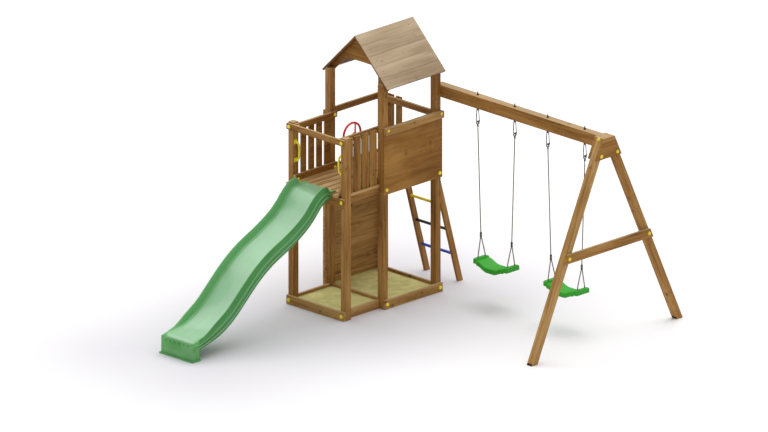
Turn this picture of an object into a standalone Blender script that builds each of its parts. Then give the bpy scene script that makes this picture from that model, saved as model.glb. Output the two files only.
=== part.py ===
"""A wooden play tower with a wavy slide, a ladder and two swings, in metres, +Z up.

The origin is on the ground under the middle of the divider board, between the two middle posts.
+X runs from the tower along the swing beam, and +Y runs from the slide to the ladder.
"""

import math

import bmesh
import bpy
from mathutils import Matrix, Vector

# Clearances
TOUCH = 0.0003  # gap left between two pieces that rest on each other
SINK = 0.0005  # how far the shapes of one piece run into each other before they are united

# Timber sections
POST = 0.070
BOARD = 0.028
BOARD_HIGH = 0.090
ARRIS = 0.002  # chamfer along the edges of the timber

# Tower frame
TOWER_WIDTH = 0.774  # over the outer faces of the posts
FRONT_BAY = 0.427  # clear length between the front and the middle posts
REAR_BAY = 0.645  # clear length between the middle and the rear posts
FRONT_POST_HEIGHT = 1.830
SAND_TOP = 0.065
SAND_RIPPLE = 0.004

# Deck
DECK_TOP = 1.250
DECK_BOARD = 0.026
DECK_BOARDS = 7
DECK_GAP = 0.007
DECK_BEAM_HIGH = 0.085

# Railings and walls
RAIL_HIGH = 0.060
RAIL_TOP = 1.820
SLAT_WIDE = 0.073
SLAT_THICK = 0.018
SLATS = 4
SLAT_TOP = 1.803
REAR_SLAT_TOP = 1.835
SIDE_SHEET = 0.020
SIDE_PANEL_BOTTOM = 1.150
SIDE_RAIL_HIGH = 0.068
WALL_PLANKS = 10
PLANK_GROOVE = 0.004
HOLD_LONG = 0.115
HOLD_PROUD = 0.042

# Roof
RIDGE_HEIGHT = 2.661
ROOF_SHEET = 0.018
EAVE_OVERHANG = 0.053
ROOF_FRONT_STEP = 0.013  # how far the roof starts behind the front faces of the middle posts
ROOF_REAR_OVERHANG = 0.015
ROOF_BOARDS = 5
ROOF_GROOVE = 0.002
GABLE_BOARD = 0.020
GABLE_RAFTER = 0.068  # upright depth of the gable along the slopes
GABLE_DROP = 0.270  # from the ridge down to the level middle of its lower edge

# Slide
SLIDE_RUN = 1.865  # from the front end of the deck to the foot
SLIDE_LIP = 0.070  # length that lies on the deck
SLIDE_FOOT_HIGH = 0.172
SLIDE_WIDTH = 0.420
SLIDE_BED = 0.366
SLIDE_RIM = 0.075
SLIDE_RIM_BAND = 0.014
SLIDE_SKIRT = 0.080
SLIDE_WALL = 0.006
SLIDE_RIDGE = 0.008
SLIDE_STATIONS = 24
SLIDE_FOOT_LONG = 0.105
SLIDE_FOOT_LIP = 0.014
# The wave of the bed: shares of the run and of the drop from the deck to the foot
SLIDE_WAVE = (
    (0.050, 0.004),
    (0.095, 0.052),
    (0.150, 0.152),
    (0.220, 0.245),
    (0.320, 0.338),
    (0.430, 0.425),
    (0.530, 0.535),
    (0.620, 0.668),
    (0.720, 0.822),
    (0.810, 0.915),
    (0.900, 0.965),
    (1.000, 1.000),
)

# Grab handles
HANDLE_LOW = 1.452
HANDLE_LONG = 0.184
HANDLE_REACH = 0.060
HANDLE_BAR = 0.010
HANDLE_FOOT = 0.044
HANDLE_FOOT_THICK = 0.008
HANDLE_FROM_FACE = 0.026

# Steering wheel
WHEEL_RADIUS = 0.115
WHEEL_RIM = 0.011
WHEEL_HUB = 0.027
WHEEL_HUB_LONG = 0.032
WHEEL_DISH = 0.054  # from the back of the hub to the plane of the rim
WHEEL_PIN = 0.006
WHEEL_PIN_HEAD = 0.011
WHEEL_SPOKES = 3
WHEEL_TURN = 68.0  # degrees from level to its first spoke
WHEEL_ALONG = 0.237  # from the front face of the tower to the hub

# Ladder
LADDER_FOOT = 0.411  # from the inner face of the rear posts back to the middle of the stile's foot
LADDER_LEAN = 0.280  # run for each unit of rise
STILE_THICK = 0.028
STILE_DEEP = 0.058
STILE_TOP = 1.200
LADDER_WIDTH = 0.469
RUNG = 0.014
RUNG_FIRST = 0.285
RUNG_PITCH = 0.262
RUNG_SOCKET = 0.012
RUNG_FIT = 0.0004

# Swing frame
BEAM_WIDE = 0.090
BEAM_HIGH = 0.120
BEAM_BOTTOM = 1.947
FRAME_REACH = 2.578  # from the middle of the tower to the outer faces of the legs
LEG = 0.070
LEG_SPREAD = 0.982  # from the beam's middle to the middle of a foot
LEG_SLOPE = 0.458
PLATE_BOTTOM = 1.865
BRACE_BOTTOM = 0.925

# Swings
SWING_LAST_TO_FRAME = 0.5505  # from the middle of the last swing to the outer faces of the legs
SWING_PITCH = 0.940
HANG_SPACING = 0.497
EYE_RADIUS = 0.013
EYE_WIRE = 0.004
BOLT_SHANK = 0.005
BOLT_HOLE_FIT = 0.0004
NUT = 0.011
NUT_HIGH = 0.010
BOLT_TAIL = 0.034  # of an eyebolt, over its washer
WASHER = 0.015
WASHER_THICK = 0.002
HOOK_WIRE = 0.0045
HOOK_BOW = 0.0125
HOOK_BASKET = 0.020
HOOK_LONG = 0.098  # between the centres of its two bows
HOOK_NOSE = 0.012  # length of the nose below the bow, on the gate's side
BASKET_END = -12.0  # where the basket ends, in degrees below level
GATE_ROD = 0.0035
GATE_FREE = 0.0004  # gap between the gate and the nose
GATE_KNUCKLE = 0.005
KNUCKLE_HALF = 0.0022
ROPE = 0.0057
ROPE_EYE = 0.0148
CLAMP_HEIGHT = 0.670
CLAMP_SPACING = 0.414
SEAT_LONG = 0.455
SEAT_WIDE = 0.180
SEAT_HEIGHT = 0.392
SEAT_RISE = 0.056
SEAT_FLAT = 0.045  # half length of its low middle
SEAT_PAD = 0.178  # where the raised ends begin
SEAT_STEP = 0.014  # height of the small step up to each end
SEAT_STEP_RUN = 0.008
SEAT_WALL = 0.006
SEAT_SKIRT = 0.046
SEAT_CORNER = 0.012
SEAT_DISH = 0.006
SEAT_HOLES = 0.394
SEAT_HOLE_ACROSS = 0.094
SEAT_HOLE_FIT = 0.001
KNOT = 0.012

# Places that follow from the sizes
X_OUT = TOWER_WIDTH / 2
X_IN = X_OUT - POST
FRONT_Y = -(POST + FRONT_BAY)
REAR_Y = POST + REAR_BAY
FRONT_FACE = FRONT_Y - POST / 2
REAR_INNER = REAR_Y - POST / 2
REAR_FACE = REAR_Y + POST / 2
MID = POST / 2
ROOF_DROP = ROOF_SHEET * math.sqrt(2)  # upright depth of the sloping sheets
TALL_POST_HEIGHT = RIDGE_HEIGHT - X_OUT - ROOF_DROP - 2 * TOUCH
RAIL_BOTTOM = RAIL_TOP - RAIL_HIGH
DECK_UNDER = DECK_TOP - DECK_BOARD
DECK_FRONT = FRONT_FACE - TOUCH - BOARD
DECK_REAR = REAR_INNER + BOARD
WHEEL_HEIGHT = RAIL_TOP - RAIL_HIGH / 2
BEAM_Y = REAR_FACE + TOUCH + BEAM_WIDE / 2
BEAM_TOP = BEAM_BOTTOM + BEAM_HIGH
EYE_HEIGHT = BEAM_BOTTOM - TOUCH - WASHER_THICK - EYE_RADIUS - 0.8 * EYE_WIRE
HINGE_HEIGHT = EYE_HEIGHT - EYE_RADIUS + EYE_WIRE + TOUCH + HOOK_WIRE
SWING_FIRST = FRAME_REACH - SWING_LAST_TO_FRAME - SWING_PITCH  # to the middle of the first swing
BASKET_COS = math.cos(math.radians(BASKET_END))
BASKET_SIN = math.sin(math.radians(BASKET_END))

for stale in list(bpy.data.objects):
    bpy.data.objects.remove(stale)


def material(name, colour, roughness, metallic=0.0):
    made = bpy.data.materials.new(name)
    made.use_nodes = True
    shader = made.node_tree.nodes["Principled BSDF"]
    shader.inputs["Base Color"].default_value = (*colour, 1.0)
    shader.inputs["Roughness"].default_value = roughness
    shader.inputs["Metallic"].default_value = metallic
    return made


TIMBER = material("stained timber", (0.23, 0.12, 0.035), 0.65)
PALE_TIMBER = material("roof timber", (0.42, 0.29, 0.17), 0.7)
GREEN = material("slide green", (0.10, 0.42, 0.14), 0.35)
SEAT_GREEN = material("seat green", (0.05, 0.36, 0.05), 0.35)
YELLOW = material("handle yellow", (0.75, 0.60, 0.02), 0.35)
RED = material("wheel red", (0.70, 0.01, 0.02), 0.3)
BLUE = material("rung blue", (0.02, 0.10, 0.55), 0.35)
BLACK = material("rung black", (0.03, 0.03, 0.03), 0.4)
STEEL = material("galvanised steel", (0.55, 0.55, 0.55), 0.35, 1.0)
ROPE_GREY = material("rope", (0.26, 0.22, 0.16), 0.9)
SAND = material("sand", (0.42, 0.37, 0.16), 0.95)


def place(name, mesh, finish, smooth=False):
    """Put a mesh into the scene as a named object with one material."""
    mesh.materials.clear()
    mesh.materials.append(finish)
    if smooth:
        mesh.shade_smooth()
        mesh.set_sharp_from_angle(angle=math.radians(40))
    made = bpy.data.objects.new(name, mesh)
    bpy.context.scene.collection.objects.link(made)
    return made


def mesh_from(bm):
    """Turn a finished bmesh into a mesh whose faces all point out."""
    bmesh.ops.recalc_face_normals(bm, faces=bm.faces)
    if bm.calc_volume(signed=True) < 0:
        bmesh.ops.reverse_faces(bm, faces=bm.faces)
    mesh = bpy.data.meshes.new("shape")
    bm.to_mesh(mesh)
    bm.free()
    return mesh


def box(low, high, arris=ARRIS):
    """A straight piece between two corners, with its edges taken off."""
    bm = bmesh.new()
    bmesh.ops.create_cube(bm, size=1.0)
    low, high = Vector(low), Vector(high)
    bmesh.ops.scale(bm, vec=high - low, verts=bm.verts)
    bmesh.ops.translate(bm, vec=(low + high) / 2, verts=bm.verts)
    if arris:
        bmesh.ops.bevel(bm, geom=bm.edges[:], offset=arris, segments=1, profile=0.5, affect="EDGES")
    return mesh_from(bm)


def prism(outline, axis, start, end):
    """An outline drawn square to an axis and extruded along it."""
    order = {"X": (2, 0, 1), "Y": (0, 2, 1), "Z": (0, 1, 2)}[axis]
    bm = bmesh.new()
    corners = []
    for first, second in outline:
        values = (first, second, start)
        corners.append(bm.verts.new([values[index] for index in order]))
    face = bm.faces.new(corners)
    direction = Vector((axis == "X", axis == "Y", axis == "Z")) * (end - start)
    grown = bmesh.ops.extrude_face_region(bm, geom=[face])["geom"]
    moved = [item for item in grown if isinstance(item, bmesh.types.BMVert)]
    bmesh.ops.translate(bm, vec=direction, verts=moved)
    return mesh_from(bm)


def loft(sections):
    """A skin over closed sections with equal numbers of points, filled at both ends."""
    bm = bmesh.new()
    rings = [[bm.verts.new(point) for point in section] for section in sections]
    for ring, following in zip(rings, rings[1:]):
        for index in range(len(ring)):
            after = (index + 1) % len(ring)
            bm.faces.new((ring[index], ring[after], following[after], following[index]))
    bm.faces.new(rings[0])
    bm.faces.new(rings[-1])
    return mesh_from(bm)


def rod(start, end, radius, sides=12, end_radius=None):
    """A round bar between two points, tapered where its end has its own radius."""
    start, end = Vector(start), Vector(end)
    bm = bmesh.new()
    bmesh.ops.create_cone(
        bm,
        cap_ends=True,
        segments=sides,
        radius1=radius,
        radius2=radius if end_radius is None else end_radius,
        depth=(end - start).length,
    )
    turn = Vector((0, 0, 1)).rotation_difference(end - start).to_matrix()
    bmesh.ops.rotate(bm, matrix=turn, verts=bm.verts)
    bmesh.ops.translate(bm, vec=(start + end) / 2, verts=bm.verts)
    return mesh_from(bm)


def ball(centre, radius, rings=5, segments=8):
    bm = bmesh.new()
    bmesh.ops.create_uvsphere(bm, u_segments=segments, v_segments=rings, radius=radius)
    bmesh.ops.translate(bm, vec=centre, verts=bm.verts)
    return mesh_from(bm)


def wire(points, radius, closed=False, detail=2):
    """A round bar bent along points: a curve with a bevel and filled caps."""
    curve = bpy.data.curves.new("wire", "CURVE")
    curve.dimensions = "3D"
    curve.bevel_depth = radius
    curve.bevel_resolution = detail
    curve.use_fill_caps = True
    spline = curve.splines.new("POLY")
    spline.points.add(len(points) - 1)
    for point, at in zip(spline.points, points):
        point.co = (*at, 1.0)
    spline.use_cyclic_u = closed
    holder = bpy.data.objects.new("wire", curve)
    bpy.context.scene.collection.objects.link(holder)
    bpy.context.view_layer.update()
    graph = bpy.context.evaluated_depsgraph_get()
    mesh = bpy.data.meshes.new_from_object(holder.evaluated_get(graph))
    bpy.data.objects.remove(holder)
    bm = bmesh.new()
    bm.from_mesh(mesh)
    bmesh.ops.remove_doubles(bm, verts=bm.verts, dist=0.00001)
    return mesh_from(bm)


def arc(centre, radius, start, end, steps, plane="XZ"):
    """Points along an arc, with its angles in degrees from the plane's first axis."""
    first, second = "XYZ".index(plane[0]), "XYZ".index(plane[1])
    points = []
    for step in range(steps + 1):
        angle = math.radians(start + (end - start) * step / steps)
        point = Vector(centre)
        point[first] += radius * math.cos(angle)
        point[second] += radius * math.sin(angle)
        points.append(point)
    return points


def combine(base, tools, operation):
    """Unite tools with a mesh, or cut them out of it, one after another."""
    target = bpy.data.objects.new("base", base)
    bpy.context.scene.collection.objects.link(target)
    for tool in tools:
        helper = bpy.data.objects.new("tool", tool)
        bpy.context.scene.collection.objects.link(helper)
        change = target.modifiers.new("combine", "BOOLEAN")
        change.solver = "EXACT"
        change.operation = operation
        change.object = helper
        bpy.context.view_layer.update()
        graph = bpy.context.evaluated_depsgraph_get()
        made = bpy.data.meshes.new_from_object(target.evaluated_get(graph))
        target.modifiers.clear()
        target.data = made
        bpy.data.objects.remove(helper)
    made = target.data
    bpy.data.objects.remove(target)
    return made


def unite(meshes):
    return combine(meshes[0], meshes[1:], "UNION")


def cut(base, cutters):
    return combine(base, cutters, "DIFFERENCE")


def mirrored(mesh, axis):
    """A copy of a mesh on the other side of the plane square to an axis."""
    bm = bmesh.new()
    bm.from_mesh(mesh)
    scale = Vector([-1 if letter == axis else 1 for letter in "XYZ"])
    bmesh.ops.scale(bm, vec=scale, verts=bm.verts)
    bmesh.ops.reverse_faces(bm, faces=bm.faces)
    return mesh_from(bm)


def smooth_step(value):
    value = min(max(value, 0.0), 1.0)
    return value * value * (3 - 2 * value)


def blend_table(table, at):
    """A value read from pairs of place and value, eased from each to the next."""
    for (start, low), (end, high) in zip(table, table[1:]):
        if at <= end:
            return low + (high - low) * smooth_step((at - start) / (end - start))
    return table[-1][1]


def spline_at(points, at):
    """A point on the smooth curve that passes through the given points, at a share of its length."""
    place_at = at * (len(points) - 1)
    index = min(int(place_at), len(points) - 2)
    part = place_at - index
    before = points[max(index - 1, 0)]
    start, end = points[index], points[index + 1]
    after = points[min(index + 2, len(points) - 1)]
    result = []
    for a, b, c, d in zip(before, start, end, after):
        result.append(
            b
            + 0.5 * part * (c - a)
            + part**2 * (a - 2.5 * b + 2 * c - 0.5 * d)
            + part**3 * (-0.5 * a + 1.5 * b - 1.5 * c + 0.5 * d)
        )
    return result


def make_posts():
    rows = (
        ("front", FRONT_Y, FRONT_POST_HEIGHT),
        ("mid", 0.0, TALL_POST_HEIGHT),
        ("rear", REAR_Y, TALL_POST_HEIGHT),
    )
    for row, y, height in rows:
        for side, x in (("left", -X_OUT + POST / 2), ("right", X_OUT - POST / 2)):
            low = (x - POST / 2, y - POST / 2, 0)
            high = (x + POST / 2, y + POST / 2, height)
            place(f"post_{row}_{side}", box(low, high), TIMBER)


def make_base():
    boards = {
        "base_board_front": ((-X_OUT, FRONT_FACE - TOUCH - BOARD), (X_OUT, FRONT_FACE - TOUCH)),
        "base_board_left": ((-X_IN - BOARD, FRONT_Y + MID + TOUCH), (-X_IN, -MID - TOUCH)),
        "base_board_right_front": ((X_IN, FRONT_Y + MID + TOUCH), (X_IN + BOARD, -MID - TOUCH)),
        "base_board_right_rear": ((X_OUT + TOUCH, -MID), (X_OUT + TOUCH + BOARD, REAR_FACE)),
        "base_board_rear": ((-X_IN + TOUCH, REAR_INNER), (X_IN - TOUCH, REAR_INNER + BOARD)),
        "base_divider": ((-X_IN + TOUCH, -BOARD / 2), (X_IN - TOUCH, BOARD / 2)),
    }
    for name, (low, high) in boards.items():
        place(name, box((*low, 0), (*high, BOARD_HIGH)), TIMBER)


def sand_bed(outline):
    """A raked bed of sand: a flat base and a softly rippled top."""
    mesh = prism(outline, "Z", 0.0, SAND_TOP)
    bm = bmesh.new()
    bm.from_mesh(mesh)
    for axis, cuts in ((0, 6), (1, 5)):
        low = min(vert.co[axis] for vert in bm.verts)
        high = max(vert.co[axis] for vert in bm.verts)
        for index in range(1, cuts):
            spot = Vector((0, 0, 0))
            spot[axis] = low + (high - low) * index / cuts
            normal = Vector((axis == 0, axis == 1, 0))
            geometry = bm.verts[:] + bm.edges[:] + bm.faces[:]
            bmesh.ops.bisect_plane(bm, geom=geometry, dist=0.00001, plane_co=spot, plane_no=normal)
    for vert in bm.verts:
        if vert.co.z > SAND_TOP / 2:
            vert.co.z -= SAND_RIPPLE * (1 + math.sin(19 * vert.co.x) * math.cos(15 * vert.co.y)) / 2
    return mesh_from(bm)


def make_sand():
    front = (
        (-X_IN + TOUCH, FRONT_FACE),
        (X_IN - TOUCH, FRONT_FACE),
        (X_IN - TOUCH, -BOARD / 2 - TOUCH),
        (-X_IN + TOUCH, -BOARD / 2 - TOUCH),
    )
    rear = (
        (-X_IN + TOUCH, BOARD / 2 + TOUCH),
        (X_IN - TOUCH, BOARD / 2 + TOUCH),
        (X_IN - TOUCH, MID + TOUCH),
        (X_OUT, MID + TOUCH),
        (X_OUT, REAR_INNER - TOUCH),
        (-X_OUT, REAR_INNER - TOUCH),
        (-X_OUT, MID + TOUCH),
        (-X_IN + TOUCH, MID + TOUCH),
    )
    place("sand_front", sand_bed(front), SAND)
    place("sand_rear", sand_bed(rear), SAND)


def make_deck():
    """Seven boards on three cross beams, with a beam along each side."""
    span = 2 * (X_IN - TOUCH)
    wide = (span - DECK_GAP * (DECK_BOARDS - 1)) / DECK_BOARDS
    boards = []
    for index in range(DECK_BOARDS):
        x = -span / 2 + index * (wide + DECK_GAP)
        boards.append(box((x, DECK_FRONT, DECK_UNDER), (x + wide, DECK_REAR, DECK_TOP)))
    low, high = DECK_UNDER - DECK_BEAM_HIGH, DECK_UNDER + SINK
    beams = [box((-X_OUT, DECK_FRONT, low), (X_OUT, DECK_FRONT + BOARD, high), 0.0)]
    for y in (-BOARD / 2, REAR_INNER):
        beams.append(box((-X_IN + TOUCH, y, low), (X_IN - TOUCH, y + BOARD, high), 0.0))
    edges = []
    for start, end in ((FRONT_Y + MID, -MID), (MID, REAR_INNER)):
        for side in (-1, 1):
            near, far = side * (X_IN - TOUCH - SINK), side * (X_IN + BOARD)
            corner = (min(near, far), start + TOUCH, DECK_TOP - BOARD_HIGH)
            edges.append(box(corner, (max(near, far), end - TOUCH, DECK_TOP)))
    place("deck", unite(beams + boards + edges), TIMBER)


def slat_panel():
    """The left railing of the front bay: upright slats behind two rails that lie on the posts."""
    pitch = FRONT_BAY / SLATS
    start = FRONT_Y + MID
    rails = []
    for bottom in (DECK_TOP + TOUCH, RAIL_BOTTOM):
        low = (-X_IN + TOUCH, FRONT_FACE, bottom)
        rails.append(box(low, (-X_IN + TOUCH + BOARD, MID, bottom + RAIL_HIGH)))
    slats = []
    for index in range(SLATS):
        end = start + (index + 1) * pitch - TOUCH
        low = (-X_IN - SLAT_THICK, end - SLAT_WIDE, DECK_TOP + TOUCH)
        slats.append(box(low, (-X_IN + TOUCH + SINK, end, SLAT_TOP)))
    return rails + slats


def make_railings():
    place("slat_panel_left", unite(slat_panel()), TIMBER)
    turned = unite(slat_panel())
    middle = (FRONT_FACE + MID) / 2
    half_turn = Matrix.Translation((0, 2 * middle, 0)) @ Matrix.Rotation(math.pi, 4, "Z")
    turned.transform(half_turn)
    wheel_y = FRONT_FACE + WHEEL_ALONG
    rail_face = X_IN - TOUCH - BOARD
    head = rail_face - 2 * TOUCH - WHEEL_HUB_LONG
    pin_root = (rail_face + BOARD / 2, wheel_y, WHEEL_HEIGHT)
    pin = rod(pin_root, (head - SINK, wheel_y, WHEEL_HEIGHT), WHEEL_PIN)
    cap_end = (head - WHEEL_PIN, wheel_y, WHEEL_HEIGHT)
    cap = rod((head, wheel_y, WHEEL_HEIGHT), cap_end, WHEEL_PIN_HEAD)
    place("slat_panel_right", unite([turned, pin, cap]), TIMBER)

    front_low = (-X_OUT, FRONT_FACE - TOUCH - BOARD, RAIL_BOTTOM)
    place("front_rail", box(front_low, (X_OUT, FRONT_FACE - TOUCH, RAIL_TOP)), TIMBER)
    left_low = (-X_OUT - TOUCH - BOARD, -MID, RAIL_BOTTOM)
    place("left_rear_rail", box(left_low, (-X_OUT - TOUCH, REAR_FACE, RAIL_TOP)), TIMBER)

    back = REAR_INNER + BOARD + TOUCH
    rail = box((-X_IN + TOUCH, REAR_INNER, RAIL_BOTTOM), (X_IN - TOUCH, back + SINK, RAIL_TOP))
    slats = []
    for index in range(2):
        end = -X_IN + (index + 1) * FRONT_BAY / SLATS
        low = (end - SLAT_WIDE, back, DECK_TOP - BOARD_HIGH)
        slats.append(box(low, (end, back + SLAT_THICK, REAR_SLAT_TOP)))
    place("rear_railing", unite([rail] + slats), TIMBER)


def grooved_sheet(length, thick, boards, groove, both_sides):
    """The outline of a sheet of boards, lying along the first axis, with a V groove at each joint."""
    outline = [(0.0, 0.0)]
    joints = [length * index / boards for index in range(1, boards)]
    if both_sides:
        for joint in joints:
            outline += [(joint - groove, 0.0), (joint, groove), (joint + groove, 0.0)]
    outline += [(length, 0.0), (length, thick)]
    for joint in reversed(joints):
        outline += [(joint + groove, thick), (joint, thick - groove), (joint - groove, thick)]
    return outline + [(0.0, thick)]


def make_walls():
    """The plank wall with its climbing holds, and the closed panel on the other side."""
    face = -X_OUT - TOUCH
    outline = grooved_sheet(DECK_TOP, BOARD, WALL_PLANKS, PLANK_GROOVE, True)
    planks = prism([(face - depth, height) for height, depth in outline], "Y", -MID, REAR_FACE)
    holds = []
    middle = (REAR_FACE - MID) / 2
    for index in range(6):
        y = middle + (-1) ** index * REAR_BAY * 0.21
        z = DECK_TOP * (0.17 + 0.135 * index)
        start = (face - BOARD + SINK, y, z)
        stone = rod(start, (face - BOARD - HOLD_PROUD, y, z), HOLD_LONG / 2, 8, HOLD_LONG / 4)
        stone.transform(Matrix.Translation((0, 0, z * 0.35)) @ Matrix.Diagonal((1, 1, 0.65, 1)))
        holds.append(stone)
    place("climbing_wall", unite([planks] + holds), TIMBER)

    inner = X_OUT + TOUCH
    rail_bottom = RAIL_TOP - SIDE_RAIL_HIGH
    face = inner + SIDE_SHEET
    proud = face + BOARD
    outline = [(inner, SIDE_PANEL_BOTTOM), (face, SIDE_PANEL_BOTTOM), (face, rail_bottom)]
    outline += [(proud - ARRIS, rail_bottom), (proud, rail_bottom + ARRIS)]
    outline += [(proud, RAIL_TOP - ARRIS), (proud - ARRIS, RAIL_TOP), (inner, RAIL_TOP)]
    place("side_panel", prism(outline, "Y", -MID, REAR_FACE), TIMBER)


def make_roof():
    """Two sheets of boards that meet at the ridge, over two gable boards."""
    length = (X_OUT + EAVE_OVERHANG) * math.sqrt(2)
    outline = grooved_sheet(length, ROOF_SHEET, ROOF_BOARDS, ROOF_GROOVE, False)
    outline[0] = (ROOF_SHEET, 0.0)
    root = math.sqrt(0.5)
    slope = []
    for along, up in outline:
        x = TOUCH / 2 + (along + up - ROOF_SHEET) * root
        z = RIDGE_HEIGHT + (up - ROOF_SHEET - along) * root
        slope.append((x, z))
    start, end = -MID + ROOF_FRONT_STEP, REAR_FACE + ROOF_REAR_OVERHANG
    right = prism(slope, "Y", start, end)
    place("roof_slope_right", right, PALE_TIMBER)
    place("roof_slope_left", mirrored(right, "X"), PALE_TIMBER)

    under = RIDGE_HEIGHT - ROOF_DROP - 2 * TOUCH
    chord = RIDGE_HEIGHT - GABLE_DROP
    knee = under - GABLE_RAFTER - chord
    half = [(0.0, under), (X_OUT, under - X_OUT)]
    half += [(X_OUT, under - X_OUT - GABLE_RAFTER), (knee, chord)]
    arch = half + [(-x, z) for x, z in reversed(half[1:])]
    front = MID + TOUCH
    place("gable_front", prism(arch, "Y", front, front + GABLE_BOARD), TIMBER)
    rear = REAR_INNER - TOUCH
    place("gable_rear", prism(arch, "Y", rear - GABLE_BOARD, rear), TIMBER)


def slide_section(half_width, rim, skirt, bed_half):
    """The closed outline of the moulding across the slide: bed, side walls, rims and ridged skirts."""
    band, wall = SLIDE_RIM_BAND, SLIDE_WALL
    inner = half_width - band
    lean = inner - bed_half
    top = [
        (bed_half - band, 0.0),
        (bed_half + 0.10 * lean, 0.07 * rim),
        (bed_half + 0.60 * lean, 0.50 * rim),
        (inner, 0.90 * rim),
        (inner + 0.30 * band, rim),
        (inner + 0.75 * band, rim),
        (half_width, rim - 0.6 * wall),
    ]
    start = rim - 1.4 * wall
    span = start + skirt
    ridge = SLIDE_RIDGE * min(span / SLIDE_SKIRT, 1.0)
    for share in (0.38, 0.71):
        for step, out in ((0.0, 0.0), (0.03, ridge), (0.10, ridge), (0.14, 0.0)):
            top.append((half_width + out, start - (share + step) * span))
    top.append((half_width, -skirt))
    under = [
        (bed_half - band, -wall),
        (bed_half + 0.10 * lean + 0.5 * wall, 0.07 * rim - 0.9 * wall),
        (inner + 0.8 * wall, 0.9 * rim - 0.7 * wall),
        (inner + 0.5 * band, rim - wall),
        (half_width - wall, rim - 1.3 * wall),
        (half_width - wall, -0.6 * skirt),
        (half_width - wall, -skirt),
    ]
    left_top = [(-across, up) for across, up in reversed(top)]
    left_under = [(-across, up) for across, up in under]
    return top + under[::-1] + left_under + left_top


def slide_path():
    """The points that the middle of the bed passes through: flat on the deck, then down the wave."""
    level = DECK_TOP + TOUCH + SLIDE_WALL
    drop = level - SLIDE_FOOT_HIGH
    points = [Vector((0, DECK_FRONT + SLIDE_LIP, level)), Vector((0, DECK_FRONT, level))]
    for along, down in SLIDE_WAVE:
        points.append(Vector((0, DECK_FRONT - SLIDE_RUN * along, level - drop * down)))
    return points


def make_slide():
    """A moulded wavy chute with a lip on the deck and a box foot on the ground."""
    path = slide_path()
    edge = 1 / (len(path) - 1)  # the share of the path at which it leaves the deck
    clear = 1.004 * edge
    rims = (
        (clear, 0.12 * SLIDE_RIM),
        (1.6 * edge, SLIDE_RIM),
        (0.83, SLIDE_RIM),
        (0.96, 0.20 * SLIDE_RIM),
        (1.00, 0.10 * SLIDE_RIM),
    )
    skirts = (
        (clear, SLIDE_WALL),
        (1.04 * edge, 0.70 * SLIDE_SKIRT),
        (2.20 * edge, SLIDE_SKIRT),
        (1.00, SLIDE_SKIRT),
    )
    shares = [0.0, 0.5 * edge, clear, 1.04 * edge, 1.2 * edge, 1.4 * edge, 1.6 * edge]
    last = 2 * edge
    shares += [last + (1 - last) * station / SLIDE_STATIONS for station in range(SLIDE_STATIONS + 1)]
    sections = []
    for share in shares:
        centre = Vector(spline_at(path, share))
        before = Vector(spline_at(path, max(share - 0.005, 0.0)))
        ahead = (Vector(spline_at(path, min(share + 0.005, 1.0))) - before).normalized()
        up = Vector((0, ahead.z, -ahead.y)) if share > clear else Vector((0, 0, 1))
        rim = blend_table(rims, max(share, clear))
        skirt = blend_table(skirts, max(share, clear))
        outline = slide_section(SLIDE_WIDTH / 2, rim, skirt, SLIDE_BED / 2)
        sections.append([centre + Vector((across, 0, 0)) + up * rise for across, rise in outline])
    chute = loft(sections)

    half = SLIDE_WIDTH / 2 + SINK
    front = DECK_FRONT - SLIDE_RUN - SINK
    back = front + SLIDE_FOOT_LONG
    wall = SLIDE_WALL
    high = SLIDE_FOOT_HIGH - wall / 2

    def cup(grow):
        side, nose = half + grow, front - grow
        outer = [(side, back), (-side, back), (-side, nose), (side, nose)]
        inner = [(half - wall, front + wall), (-half + wall, front + wall)]
        return [outer[0], (half - wall, back), inner[0], inner[1], (-half + wall, back)] + outer[1:]

    foot = prism(cup(0.0), "Z", 0.0, high)
    base = prism(cup(SLIDE_FOOT_LIP), "Z", 0.0, SLIDE_FOOT_LIP)
    place("slide", unite([chute, foot, base]), GREEN, smooth=True)


def make_handles():
    """A bowed grab handle on the inner face of each front post."""
    face = -X_IN + TOUCH
    y = FRONT_FACE + HANDLE_FROM_FACE
    top = HANDLE_LOW + HANDLE_LONG
    reach = face + HANDLE_FOOT_THICK / 2
    points = []
    for step in range(13):
        angle = math.pi * step / 12
        bow = math.sin(angle) ** 0.5 * (HANDLE_REACH - HANDLE_BAR)
        points.append((reach + bow, y, HANDLE_LOW + HANDLE_LONG * (1 - math.cos(angle)) / 2))
    shapes = [wire(points, HANDLE_BAR)]
    for z in (HANDLE_LOW, top):
        low = (face, y - 0.45 * HANDLE_FOOT, z - HANDLE_FOOT / 2)
        high = (face + HANDLE_FOOT_THICK, y + 0.45 * HANDLE_FOOT, z + HANDLE_FOOT / 2)
        shapes.append(box(low, high))
    left = unite(shapes)
    place("grab_handle_left", left, YELLOW, smooth=True)
    place("grab_handle_right", mirrored(left, "X"), YELLOW, smooth=True)


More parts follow.
